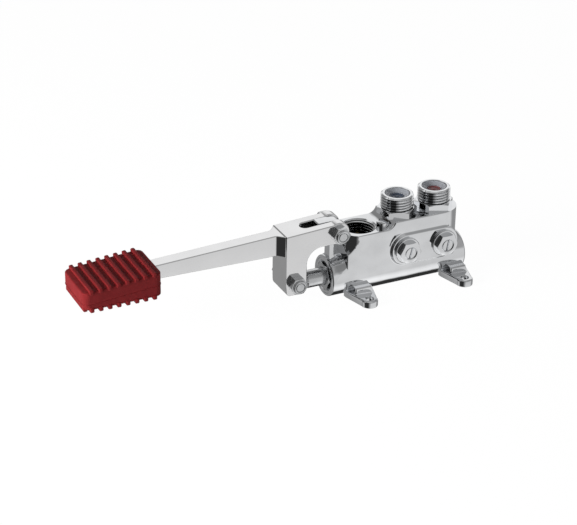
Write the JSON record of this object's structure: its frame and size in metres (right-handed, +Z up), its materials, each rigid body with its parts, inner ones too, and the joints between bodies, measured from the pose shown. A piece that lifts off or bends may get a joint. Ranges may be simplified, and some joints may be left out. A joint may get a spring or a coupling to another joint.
{
  "type": "foot pedal tap valve",
  "caption": "Floor-mounted mixing tap valve worked by a long lever with a ribbed rubber pedal; threaded inlets and outlet on top, stop valves on the side.",
  "frame": {"origin": "centre of the four floor holes, on the floor", "axes": "+Z up, +X along the barrel away from the pedal, +Y away from the stop valves"},
  "size_m": [0.261, 0.0588, 0.0608],
  "materials": {
    "chrome": "polished chrome plate on cast brass",
    "lever_chrome": "satin-bright chrome plate on a cast lever",
    "pedal_rubber": "matte moulded rubber",
    "steel": "bright turned stainless steel",
    "brass": "turned brass",
    "seal_rubber": "black seal rubber",
    "fibre_gasket": "pressed fibre",
    "grey_plastic": "moulded grey plastic",
    "blue_plastic": "moulded blue plastic",
    "red_plastic": "moulded red plastic"
  },
  "bodies": {
    "body": {"valve_body": "chrome", "gland_bonnet": "chrome", "gland_nut": "steel", "gland_packing": "seal_rubber", "bonnet_gasket": "fibre_gasket", "cold_seat": "brass", "hot_seat": "brass", "divider_ring": "brass", "pivot_bush": "brass", "cold_nipple": "chrome", "hot_nipple": "chrome", "cold_nipple_gasket": "fibre_gasket", "hot_nipple_gasket": "fibre_gasket", "cold_check_cage": "grey_plastic", "hot_check_cage": "grey_plastic", "cold_check_spider": "grey_plastic", "hot_check_spider": "grey_plastic", "cold_check_spring": "steel", "hot_check_spring": "steel", "cold_stop_plug": "chrome", "hot_stop_plug": "chrome", "return_spring": "steel"},
    "lever": {"lever": "lever_chrome", "pedal_cover": "pedal_rubber", "pivot_bolt": "steel", "pivot_nut": "steel", "roller_bolt": "steel", "roller_nut": "steel"},
    "roller": {"roller": "steel"},
    "rod": {"push_rod": "steel", "valve_stem": "brass", "cold_disc": "seal_rubber", "hot_disc": "seal_rubber"},
    "cold_poppet": {"cold_check_poppet": "blue_plastic"},
    "hot_poppet": {"hot_check_poppet": "red_plastic"},
    "cold_spindle": {"cold_stop_spindle": "chrome"},
    "hot_spindle": {"hot_stop_spindle": "chrome"},
    "cold_shutter": {"cold_stop_disc": "seal_rubber"},
    "hot_shutter": {"hot_stop_disc": "seal_rubber"},
    "flow_screw": {"flow_screw": "chrome"}
  },
  "joints": [
    {"name": "lever_press", "type": "hinge", "parent": "body", "child": "lever", "pos_m": [-0.049, 0, 0.0459], "axis": [0, -1, 0], "range_deg": [0, 9], "stiffness_Nm_per_rad": 4, "springref_deg": -17.19},
    {"name": "rod_slide", "type": "slide", "parent": "body", "child": "rod", "axis": [1, 0, 0], "range_m": [0, 0.0049], "deforming": ["return_spring"]},
    {"name": "roller_spin", "type": "hinge", "parent": "lever", "child": "roller", "pos_m": [-0.07765, 0, 0.0174], "axis": [0, 1, 0], "continuous": true},
    {"name": "cold_stop_turn", "type": "hinge", "parent": "body", "child": "cold_spindle", "pos_m": [-0.0038, 0, 0.0278], "axis": [0, 1, 0], "range_deg": [0, 900]},
    {"name": "cold_stop_close", "type": "slide", "parent": "body", "child": "cold_shutter", "axis": [0, 1, 0], "range_m": [0, 0.005]},
    {"name": "cold_check_open", "type": "slide", "parent": "body", "child": "cold_poppet", "axis": [0, 0, -1], "range_m": [0, 0.0018], "stiffness_N_per_m": 100, "springref_m": -0.002, "deforming": ["cold_check_spring"]},
    {"name": "hot_stop_turn", "type": "hinge", "parent": "body", "child": "hot_spindle", "pos_m": [0.0225, 0, 0.0278], "axis": [0, 1, 0], "range_deg": [0, 900]},
    {"name": "hot_stop_close", "type": "slide", "parent": "body", "child": "hot_shutter", "axis": [0, 1, 0], "range_m": [0, 0.005]},
    {"name": "hot_check_open", "type": "slide", "parent": "body", "child": "hot_poppet", "axis": [0, 0, -1], "range_m": [0, 0.0018], "stiffness_N_per_m": 100, "springref_m": -0.002, "deforming": ["hot_check_spring"]},
    {"name": "flow_turn", "type": "hinge", "parent": "body", "child": "flow_screw", "pos_m": [-0.0166, -0.0056, 0.043], "axis": [0, 0, 1], "range_deg": [-360, 360]}
  ],
  "couplings": [
    {"joint": "rod_slide", "follows": "lever_press", "m_per_rad": 0.03065},
    {"joint": "cold_stop_close", "follows": "cold_stop_turn", "m_per_rad": 0.00031831},
    {"joint": "hot_stop_close", "follows": "hot_stop_turn", "m_per_rad": 0.00031831}
  ]
}
